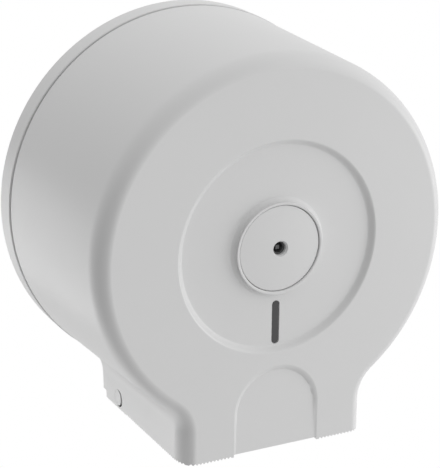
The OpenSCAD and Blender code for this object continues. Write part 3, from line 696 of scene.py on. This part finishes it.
def casing_form(sizes, name, inset, back, front, bottom, bevel=0.0):
    """Closed form of drum and chute with a rounded front edge, cut off level at the bottom."""
    # It is drawn longer than it ends up, by the spare length
    spare, edge_steps = 0.02, 12
    width, edge = sizes.edge_width - inset, sizes.edge_depth - inset
    rear, shoulder = back + bevel, front - edge
    form = casing_outline(sizes, name, rear, inset, bottom + spare)
    to_objects()
    end = casing_outline(sizes, name + "_end", shoulder, inset, bottom + spare)
    to_objects()
    end.select_set(True)
    form.select_set(True)
    bpy.context.view_layer.objects.active = form
    bpy.ops.object.join()
    set_mode("EDIT")
    select_all()
    bpy.ops.mesh.bridge_edge_loops()
    for depth in (rear, shoulder):
        select_depth(form, depth)
        bpy.ops.mesh.edge_face_add()
    select_all()
    bpy.ops.mesh.normals_make_consistent(inside=False)
    if bevel:
        select_depth(form, rear)
        bpy.ops.mesh.inset(thickness=bevel, depth=bevel, use_even_offset=True)
    select_depth(form, shoulder)
    for i in range(edge_steps):
        a, b = (math.pi / 2 * k / edge_steps for k in (i, i + 1))
        bpy.ops.mesh.inset(
            thickness=width * (math.cos(a) - math.cos(b)),
            depth=edge * (math.sin(b) - math.sin(a)),
            use_even_offset=True,
        )
    select_all()
    bpy.ops.mesh.bisect(
        plane_co=(0, 0, -bottom), plane_no=(0, 0, 1), use_fill=True, clear_inner=True
    )
    return close_shell(form)


def flared_cutter(name, outline, steps):
    """Cutter through an outline drawn above the face: it narrows by (width, depth) steps."""
    piece = draw_line(name, outline)
    fill_line()
    face_front(piece)
    extrude((0, REACH, 0))
    for width, depth in steps:
        bpy.ops.mesh.inset(thickness=width, depth=-depth, use_even_offset=True)
    select_depth(piece, -outline[0][1])
    bpy.ops.mesh.edge_face_add()
    return piece


def face_front(piece):
    """Turns the single face of a flat outline to the front and selects it."""
    set_mode("OBJECT")
    flip = piece.data.polygons[0].normal.y > 0
    set_mode("EDIT")
    select_all()
    if flip:
        bpy.ops.mesh.flip_normals()


def arc(level, radius, first, last, steps):
    """Points (x, z) of an arc about (0, level) between two angles in degrees."""
    angles = [math.radians(first + (last - first) * i / steps) for i in range(steps + 1)]
    return [(radius * math.cos(angle), level + radius * math.sin(angle)) for angle in angles]


def window_slot(details, depth, margin):
    """Outline of the window slot, grown by a margin."""
    steps = 16
    end = details.slot_width / 2
    low, high = -details.slot_end + end, -details.slot_top - end
    points = arc(high, end + margin, 0, 180, steps) + arc(low, end + margin, 180, 360, steps)
    return [(x, -depth, z) for x, z in points]


def arch_outline(details, depth, bottom, margin=0.0):
    """Outline of the arched hollow, grown by a margin."""
    steps = 64
    half = details.arch_width / 2
    top = arc(-details.arch_top - half, half + margin, 0, 180, steps)
    points = [(half + margin, -bottom), *top, (-half - margin, -bottom)]
    return [(x, -depth, z) for x, z in points]


def tooth_line(first, last, level, details):
    """Saw-toothed line between two places along a bottom edge, as (place, height) points."""
    # Each tooth keeps a flat tip
    flat = 0.0003
    pitch, height = details.tooth_pitch, details.tooth_height
    count = int((last - first) / pitch)
    begin = (first + last - count * pitch) / 2
    dip = flat * height / (pitch - flat)
    points = [(begin, level - dip - REACH), (begin, level - dip)]
    for i in range(count):
        points.append((begin + (i + 0.5) * pitch, level + height))
        points.append((begin + (i + 1) * pitch, level - dip))
    points.append((begin + count * pitch, level - dip - REACH))
    return points


def boss_side(details, floor, top):
    """Side of the lock boss from its foot to its lip, as (radius, depth) points."""
    steps, hollow = 10, 2.4
    spread = details.boss_radius - details.boss_top_radius
    points = []
    for i in range(steps + 1):
        share = i / steps
        radius = details.boss_top_radius + spread * (1 - share) ** hollow
        points.append((radius, floor + (top - floor - BOSS_LIP) * share))
    return points


# Operators


class DISPENSER_OT_cover(Operator):
    """Cover: drum and chute in one moulding, with recess, lock boss, arched hollow and teeth"""

    bl_idname = "dispenser.cover"
    bl_label = "Cover"

    def execute(self, context):
        sizes = context.scene.dispenser_casing
        details = context.scene.dispenser_details
        back, front, bottom = sizes.cover_back, sizes.front_depth, sizes.chute_drop
        cover = casing_form(sizes, "cover_shell", 0.0, back, front, bottom, sizes.groove_bevel)
        add(cover, self.boss_blank(sizes, details))
        for cutter in (self.face_cutter, self.cavity, self.arch_cutter, self.slot_cutter):
            cut(cover, cutter(sizes, details))
        cut(cover, self.back_cutter(sizes))
        for side in (-1, 1):
            cut(cover, self.hinge_cutter(context, side))
        for tool in self.tooth_cutters(sizes, details) + self.fixing_cutters(context):
            cut(cover, tool)
        for tool in self.window_pegs(sizes, details):
            add(cover, tool)
        smooth(cover)
        finish_piece(cover, "cover", white_plastic(), "cover")
        return {"FINISHED"}

    @staticmethod
    def boss_blank(sizes, details):
        """Disc on the front that the lock boss is cut from."""
        root, margin = 0.006, 0.002
        top = sizes.front_depth + details.boss_proud + REACH
        radius = details.boss_radius + margin
        return disc("boss_blank", FRONT_ROUND, radius, sizes.front_depth - root, top)

    @staticmethod
    def face_cutter(sizes, details):
        """What is taken off the front: recess, sides of the boss, cap pocket and housing bore."""
        front = sizes.front_depth
        floor = front - details.recess_sink
        boss_top = front + details.boss_proud
        pocket = front - details.pocket_sink
        # The recess's edge is half a cosine wave, a little wider than its slope
        steps, above, lift = 20, 0.004, 0.000005
        spread_out, spread_in = 0.0006, 0.001
        first = details.recess_radius + spread_out
        last = details.recess_radius - details.recess_slope - spread_in
        profile = [(0, front + above), (first, front + above)]
        for i in range(steps + 1):
            share = (1 + math.cos(math.pi * i / steps)) / 2
            radius = first + (last - first) * i / steps
            profile.append((radius, floor + (details.recess_sink + lift) * share))
        profile += boss_side(details, floor, boss_top)
        lip_round, pocket_round, bore_depth = 0.00035, 0.0007, 0.006
        profile += rounded(
            [
                (details.boss_top_radius, boss_top - BOSS_LIP, 0),
                (details.boss_top_radius, boss_top, lip_round),
                (details.pocket_radius, boss_top, pocket_round),
                (details.pocket_radius, pocket, 0),
                (details.housing_radius, pocket, 0),
                (details.housing_radius, pocket - bore_depth, 0),
                (0, pocket - bore_depth, 0),
            ]
        )[1:]
        return turned("face_cutter", profile, FRONT_ROUND)

    @staticmethod
    def cavity(sizes, details):
        """Inside of the casing, without what backs the recess, the boss and the arch."""
        front, wall = sizes.front_depth, sizes.wall
        bottom = sizes.chute_drop + REACH
        cavity = casing_form(sizes, "cavity", wall, sizes.cover_back - REACH, front - wall, bottom)
        boss_margin = 0.0003
        for name, radius, back in (
            ("recess_back", details.recess_radius + wall, front - details.recess_sink - wall),
            ("pocket_back", details.boss_radius + boss_margin, front - details.pocket_sink - wall),
        ):
            cut(cavity, disc(name, BACKING_ROUND, radius, back, front))
        back = front - wall - details.arch_sink
        outline = arch_outline(details, front, bottom + 2 * REACH, wall)
        cut(cavity, prism("arch_back", outline, (0, front - back, 0)))
        return cavity

    @staticmethod
    def arch_cutter(sizes, details):
        """The arched hollow: its floor rises towards the bottom edge."""
        front = sizes.front_depth
        outline = arch_outline(details, front + REACH, sizes.chute_drop + 4 * REACH)
        rounded_wall = [
            (0.001, 0.0003),
            (0.001, 0.0006),
            (0.001, 0.0008),
            (0.0008, 0.0007),
            (0.0006, 0.0006),
        ]
        tool = flared_cutter("arch_cutter", outline, rounded_wall)
        rise = (details.arch_sink - details.arch_end_sink) / (sizes.chute_drop - details.arch_top)
        select_all()
        bpy.ops.mesh.bisect(
            plane_co=(0, -front + details.arch_sink, -details.arch_top),
            plane_no=(0, -1, rise),
            use_fill=True,
            clear_inner=True,
        )
        return close_shell(tool)

    @staticmethod
    def slot_cutter(sizes, details):
        """The slot of the level window, with a small bevel."""
        bevel, deep = 0.0003, 0.005
        face = sizes.front_depth - details.recess_sink
        outline = window_slot(details, face + REACH, bevel)
        return close_shell(flared_cutter("slot_cutter", outline, [(bevel, bevel), (0, deep)]))

    @staticmethod
    def back_cutter(sizes):
        """What is taken off the back of the chute's side walls."""
        side = 0.13
        bottom = -sizes.chute_drop - 2 * REACH
        heel = -sizes.chute_drop + sizes.heel_height
        line = [
            (0, -sizes.step_drop),
            (-sizes.side_back, -sizes.step_drop),
            (-sizes.side_back - sizes.side_lean, heel),
            (-sizes.heel_back, heel),
            (-sizes.heel_back, bottom),
            (0, bottom),
        ]
        return prism("back_cutter", [(-side, y, z) for y, z in line], (2 * side, 0, 0))

    @staticmethod
    def hinge_cutter(context, side):
        """Round hole for a hinge pin's head, with a small bevel outside."""
        sizes, lock = context.scene.dispenser_casing, context.scene.dispenser_lock
        play, bevel = 0.00005, 0.0002
        radius = lock.pin_radius + play
        profile = [
            (0, sizes.wall + REACH),
            (radius, sizes.wall + REACH),
            (radius, bevel),
            (radius + bevel + REACH, -REACH),
            (0, -REACH),
        ]
        return set_into_mesh(
            turned("hinge_cutter", profile, PIN_ROUND),
            rotation_euler=(0, 0, -side * math.pi / 2),
            location=(side * sizes.half_chute, -lock.hinge_depth, -lock.hinge_drop),
        )

    @staticmethod
    def tooth_cutters(sizes, details):
        """Cutters for the tear teeth at the front and sides, and for the edge under the arch."""
        level, half = -sizes.chute_drop, sizes.half_chute
        front, arch = sizes.front_depth, details.arch_width / 2
        corner_gap, arch_gap, side_end = 0.0001, 0.0003, 0.0546
        end = sizes.wall + corner_gap
        inner, outer = arch + arch_gap, half - end
        tools = []
        for first, last in ((inner, outer), (-outer, -inner)):
            line = tooth_line(first, last, level, details)
            points = [(x, -front - REACH, z) for x, z in line]
            tools.append(prism("front_teeth", points, (0, sizes.edge_depth + REACH, 0)))
        line = tooth_line(-front + end, -side_end, level, details)
        across = sizes.wall + 2 * REACH
        for x, shift in ((-half - REACH, across), (half + REACH, -across)):
            tools.append(prism("side_teeth", [(x, y, z) for y, z in line], (shift, 0, 0)))
        deep, high = 0.012, 0.004
        tools.append(
            new_primitive(
                bpy.ops.mesh.primitive_cube_add,
                "arch_foot",
                size=1,
                location=(0, -front - REACH + deep / 2, level + details.arch_lift - high / 2),
                scale=(2 * arch, deep, high),
            )
        )
        return tools

    @staticmethod
    def fixing_cutters(context):
        """Holes in the pocket floor for the three lock screws and the cap's snap legs."""
        sizes, details = context.scene.dispenser_casing, context.scene.dispenser_details
        lock = context.scene.dispenser_lock
        face = sizes.front_depth - details.pocket_sink
        ring, hole, head, sink, deep = 0.0176, 0.00145, 0.00275, 0.00117, 0.005
        profile = [
            (0, face - deep),
            (hole, face - deep),
            (hole, face - sink),
            (head, face),
            (head, face + REACH),
            (0, face + REACH),
        ]
        tools = []
        for angle in map(math.radians, SCREW_ANGLES):
            at = (ring * math.cos(angle), ring * math.sin(angle))
            tools.append(turned("screw_hole", profile, SMALL_ROUND, at))
        slot_thick, slot_wide = 0.0022, 0.0066
        for angle in map(math.radians, LEG_ANGLES):
            x, z = lock.leg_ring * math.cos(angle), lock.leg_ring * math.sin(angle)
            tools.append(
                new_primitive(
                    bpy.ops.mesh.primitive_cube_add,
                    "leg_slot",
                    size=1,
                    location=(x, -face + sizes.wall / 2, z),
                    rotation=(0, -angle, 0),
                    scale=(slot_thick, sizes.wall + 2 * REACH, slot_wide),
                )
            )
        return tools

    @staticmethod
    def window_pegs(sizes, details):
        """Riveted pegs that hold the level window."""
        window, head_radius, head_height, head_round = 0.00155, 0.0019, 0.0008, 0.0005
        back = sizes.front_depth - details.recess_sink - sizes.wall
        head, root = back - window, back + sizes.wall / 2
        profile = rounded(
            [
                (0, head - head_height, 0),
                (head_radius, head - head_height, head_round),
                (head_radius, head, 0),
                (details.peg_radius, head, 0),
                (details.peg_radius, root, 0),
                (0, root, 0),
            ]
        )
        tools = []
        for side in (-1, 1):
            at = (side * details.peg_span / 2, -(details.slot_top + details.slot_end) / 2)
            tools.append(turned("window_peg", profile, SMALL_ROUND, at))
        return tools


class DISPENSER_OT_lock_cap(Operator):
    """Lock cap: a domed disc with the key hole and three snap legs"""

    bl_idname = "dispenser.lock_cap"
    bl_label = "Lock Cap"

    def execute(self, context):
        sizes, details = context.scene.dispenser_casing, context.scene.dispenser_details
        lock = context.scene.dispenser_lock
        rim, rim_round, back_round, key_round, rim_rise = 0.0012, 0.0005, 0.0003, 0.0003, 0.1
        dome_start, key_flat, dome_steps, arc_steps = 0.0016, 0.0006, 24, 5
        radius, top = lock.cap_radius, lock.cap_top
        back = top - lock.cap_thickness
        pocket = sizes.front_depth - details.pocket_sink
        edge = top - lock.cap_dome
        corners = [
            (lock.key_throat, back, 0),
            (radius - rim, back, back_round),
            (radius - rim, pocket, 0),
            (radius, pocket, 0),
            (radius, edge, rim_round),
            (radius - rim, edge + lock.cap_dome * rim_rise, 0),
        ]
        profile = rounded(corners, arc_steps)
        outer, inner = radius - dome_start, lock.key_mouth + key_flat
        for i in range(dome_steps + 1):
            r = outer + (inner - outer) * i / dome_steps
            profile.append((r, top - lock.cap_dome * (r / radius) ** 2))
        profile += rounded(
            [
                (inner, top, 0),
                (lock.key_mouth, top, key_round),
                (lock.key_throat, top - lock.key_bevel, key_round),
                (lock.key_throat, back, 0),
            ]
        )[1:]
        cap = turned("lock_cap_face", profile, FRONT_ROUND)
        for angle in LEG_ANGLES:
            add(cap, self.snap_leg(lock, back, pocket - sizes.wall, angle))
        smooth(cap)
        finish_piece(cap, "cover", white_plastic(), "lock_cap")
        return {"FINISHED"}

    @staticmethod
    def snap_leg(lock, start, floor_back, angle):
        """One snap leg with its hook, behind the cap."""
        half, wide, root, play = 0.0008, 0.006, 0.0005, 0.0003
        hook, hook_end, tip = 0.0009, 0.0004, 0.002
        inner, outer = lock.leg_ring - half, lock.leg_ring + half
        line = [
            (inner, -start - root),
            (outer, -start - root),
            (outer, -floor_back + play),
            (outer + hook, -floor_back + play),
            (outer + hook_end, -floor_back + tip),
            (inner, -floor_back + tip),
        ]
        leg = prism("snap_leg", [(x, y, -wide / 2) for x, y in line], (0, 0, wide))
        return set_into_mesh(leg, rotation_euler=(0, -math.radians(angle), 0))


class DISPENSER_OT_hinge_pins(Operator):
    """Hinge pins: a shaft with a round head, cut back in front to leave a crescent of gap"""

    bl_idname = "dispenser.hinge_pins"
    bl_label = "Hinge Pins"

    def execute(self, context):
        for side, node_name in ((-1, "hinge_pin_left"), (1, "hinge_pin_right")):
            pin = self.pin(context, side)
            smooth(pin)
            finish_piece(pin, "back", white_plastic(), node_name)
        return {"FINISHED"}

    @staticmethod
    def pin(context, side):
        """The pin of one side, at its place."""
        sizes, lock = context.scene.dispenser_casing, context.scene.dispenser_lock
        shaft, shaft_round, head_play, head_round = 0.0035, 0.0004, 0.0006, 0.0002
        inner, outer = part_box("hinge_pin_right")[0].x, sizes.half_chute
        step = outer - sizes.wall - head_play
        profile = rounded(
            [
                (0, inner, 0),
                (shaft, inner, shaft_round),
                (shaft, step, 0),
                (lock.pin_radius, step, 0),
                (lock.pin_radius, outer, head_round),
                (0, outer, 0),
            ]
        )
        pin = turned(f"hinge_pin_{'left' if side < 0 else 'right'}_turned", profile, PIN_ROUND)
        set_into_mesh(pin, rotation_euler=(0, 0, math.pi / 2))
        what_stays = new_primitive(
            bpy.ops.mesh.primitive_cylinder_add,
            "pin_keep",
            vertices=PIN_ROUND,
            radius=lock.pin_radius,
            depth=2 * outer,
            location=(outer, lock.pin_gap, 0),
            rotation=(0, math.pi / 2, 0),
        )
        combine(pin, what_stays, "INTERSECT")
        to_edit(pin)
        select_all()
        bpy.ops.transform.translate(value=(0, -lock.hinge_depth, -lock.hinge_drop))
        close_shell(pin)
        if side < 0:
            set_into_mesh(pin, scale=(-1, 1, 1))
            set_mode("EDIT")
            close_shell(pin)
        return pin


class DISPENSER_OT_lock_spring(Operator):
    """Lock spring: a wire wound round the barrel"""

    bl_idname = "dispenser.lock_spring"
    bl_label = "Lock Spring"

    def execute(self, context):
        lock = context.scene.dispenser_lock
        wire_faces, turn_steps = 12, 32
        low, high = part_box("lock_spring")
        wire = lock.wire_radius
        spring = new_primitive(
            bpy.ops.mesh.primitive_circle_add,
            "lock_spring_wire",
            vertices=wire_faces,
            radius=wire,
            fill_type="NGON",
            location=(lock.spring_radius, high.y - wire, 0),
        )
        bpy.ops.object.modifier_add(type="SCREW")
        screw = spring.modifiers[-1]
        screw.axis = "Y"
        screw.angle = math.tau * lock.spring_turns
        screw.screw_offset = 2 * wire - (high.y - low.y)
        screw.steps = screw.render_steps = turn_steps * lock.spring_turns
        bpy.ops.object.modifier_apply(modifier=screw.name)
        set_mode("EDIT")
        close_shell(spring)
        smooth(spring)
        finish_piece(spring, "cover", spring_steel(), "lock_spring")
        return {"FINISHED"}


class DISPENSER_OT_cad_finishes(Operator):
    """Finishes of the pieces whose CAD shape stays"""

    bl_idname = "dispenser.cad_finishes"
    bl_label = "Finishes of CAD Pieces"

    def execute(self, context):
        dress(["back_plate"], white_plastic())
        dress(["spindle_post", "lock_housing"], inner_plastic())
        dress(["roll_hub", "hub_washer"], grey_plastic())
        dress(["lock_barrel"], dark_plastic())
        dress(["level_window"], smoked_plastic())
        dress(["barrel_clip"], spring_steel())
        zinc = ["hinge_clips", "post_screws", "keeper_plate", "keeper_screws", "lock_screws"]
        dress(zinc + ["lock_bar", "bar_washer", "bar_screw"], zinc_plate())
        return {"FINISHED"}


class DISPENSER_OT_stage(Operator):
    """Stage: pale floor, soft lamps, white surroundings and the camera"""

    bl_idname = "dispenser.stage"
    bl_label = "Stage"

    def execute(self, context):
        self.floor(context)
        self.surroundings(context)
        for lamp in LAMPS:
            self.lamp(*lamp)
        self.camera(context)
        return {"FINISHED"}

    @staticmethod
    def floor(context):
        floor = new_primitive(
            bpy.ops.mesh.primitive_plane_add,
            "floor",
            size=FLOOR_SIZE,
            location=(0, 0, FLOOR_LEVEL),
        )
        set_mode("EDIT")
        select_all()
        bpy.ops.mesh.subdivide(number_cuts=FLOOR_CUTS)
        set_mode("OBJECT")
        floor.data.materials.append(
            moulded(
                "Pale Floor", "floor", roughness=0.7, grain=60.0, amount=0.3, flow=0.02, bump=0.0002
            )
        )

    @staticmethod
    def surroundings(context):
        """Even light with a darker side at the front left; the camera itself sees white."""
        bright, dark, white = 0.9, 0.04, (1, 1, 1, 1)
        turn, drop, middle, soft = (math.radians(degrees) for degrees in (70, 12, 44, 18))
        level = math.cos(drop)
        dark_side = (-math.sin(turn) * level, -math.cos(turn) * level, -math.sin(drop))
        world = bpy.data.worlds.new("Surroundings")
        world.use_nodes = True
        tree = world.node_tree
        tree.nodes.clear()
        direction = tree.nodes.new("ShaderNodeTexCoord").outputs["Generated"]
        facing = node(
            tree,
            "ShaderNodeVectorMath",
            {0: direction, 1: dark_side},
            operation="DOT_PRODUCT",
        )
        strength = node(
            tree,
            "ShaderNodeMapRange",
            {
                "Value": facing.outputs["Value"],
                "From Min": math.cos(middle + soft),
                "From Max": math.cos(middle - soft),
                "To Min": bright,
                "To Max": dark,
            },
            interpolation_type="SMOOTHSTEP",
        )
        rays = tree.nodes.new("ShaderNodeLightPath")
        light, seen = (
            node(tree, "ShaderNodeBackground", {"Color": white, "Strength": value}).outputs[0]
            for value in (strength.outputs["Result"], 1.0)
        )
        camera_ray = rays.outputs["Is Camera Ray"]
        mix = node(tree, "ShaderNodeMixShader", {0: camera_ray, 1: light, 2: seen})
        end = tree.nodes.new("ShaderNodeOutputWorld")
        tree.links.new(mix.outputs[0], end.inputs["Surface"])
        context.scene.world = world

    @staticmethod
    def lamp(name, turn, rise, distance, size, power):
        """A round soft lamp, turned from the front to the left and raised by degrees."""
        turn, rise = math.radians(turn), math.radians(rise)
        across = math.cos(rise)
        away = Vector((-math.sin(turn) * across, -math.cos(turn) * across, math.sin(rise)))
        to_objects()
        bpy.ops.object.light_add(type="AREA", radius=1, location=LAMP_AIM + away * distance)
        lamp = bpy.context.object
        lamp.name = name
        lamp.data.shape = "DISK"
        lamp.data.size = size
        lamp.data.energy = power
        lamp.rotation_euler = away.to_track_quat("Z", "Y").to_euler()

    @staticmethod
    def camera(context):
        to_objects()
        bpy.ops.object.camera_add(location=CAMERA_PLACE)
        camera = bpy.context.object
        camera.name = "photo_camera"
        camera.rotation_mode = "QUATERNION"
        look = (CAMERA_AIM - CAMERA_PLACE).to_track_quat("-Z", "Y")
        camera.rotation_quaternion = look @ Quaternion((0, 0, 1), math.radians(CAMERA_ROLL))
        camera.data.lens = CAMERA_LENS
        camera.data.sensor_width = CAMERA_SENSOR
        camera.data.shift_x, camera.data.shift_y = CAMERA_SHIFT
        camera.data.clip_end = CAMERA_REACH
        context.scene.camera = camera
        context.scene.view_settings.view_transform = "Standard"


PIECES = (
    DISPENSER_OT_cover,
    DISPENSER_OT_lock_cap,
    DISPENSER_OT_hinge_pins,
    DISPENSER_OT_lock_spring,
    DISPENSER_OT_cad_finishes,
    DISPENSER_OT_stage,
)


class DISPENSER_PT_pieces(Panel):
    """Lists the pieces of the dispenser and their settings"""

    bl_label = "Toilet Roll Dispenser"
    bl_idname = "DISPENSER_PT_pieces"
    bl_space_type = "VIEW_3D"
    bl_region_type = "UI"
    bl_category = "Dispenser"

    def draw(self, context):
        for piece in PIECES:
            self.layout.operator(piece.bl_idname)
        for name, settings in SETTINGS.items():
            box = self.layout.box()
            box.label(text=settings.__doc__)
            for key in settings.__annotations__:
                box.prop(getattr(context.scene, name), key)


SETTINGS = {
    "dispenser_casing": CasingSizes,
    "dispenser_details": DetailSizes,
    "dispenser_lock": LockSizes,
    "dispenser_finishes": Finishes,
}
CLASSES = (*SETTINGS.values(), *PIECES, DISPENSER_PT_pieces)


def register():
    for cls in CLASSES:
        bpy.utils.register_class(cls)
    for name, group in SETTINGS.items():
        setattr(bpy.types.Scene, name, PointerProperty(type=group))


def unregister():
    for name in SETTINGS:
        delattr(bpy.types.Scene, name)
    for cls in reversed(CLASSES):
        bpy.utils.unregister_class(cls)


def main():
    register()
    bpy.ops.dispenser.stage()
    bpy.ops.dispenser.cad_finishes()
    bpy.ops.dispenser.cover()
    bpy.ops.dispenser.lock_cap()
    bpy.ops.dispenser.hinge_pins()
    bpy.ops.dispenser.lock_spring()
    to_objects()


if __name__ == "__main__":
    main()
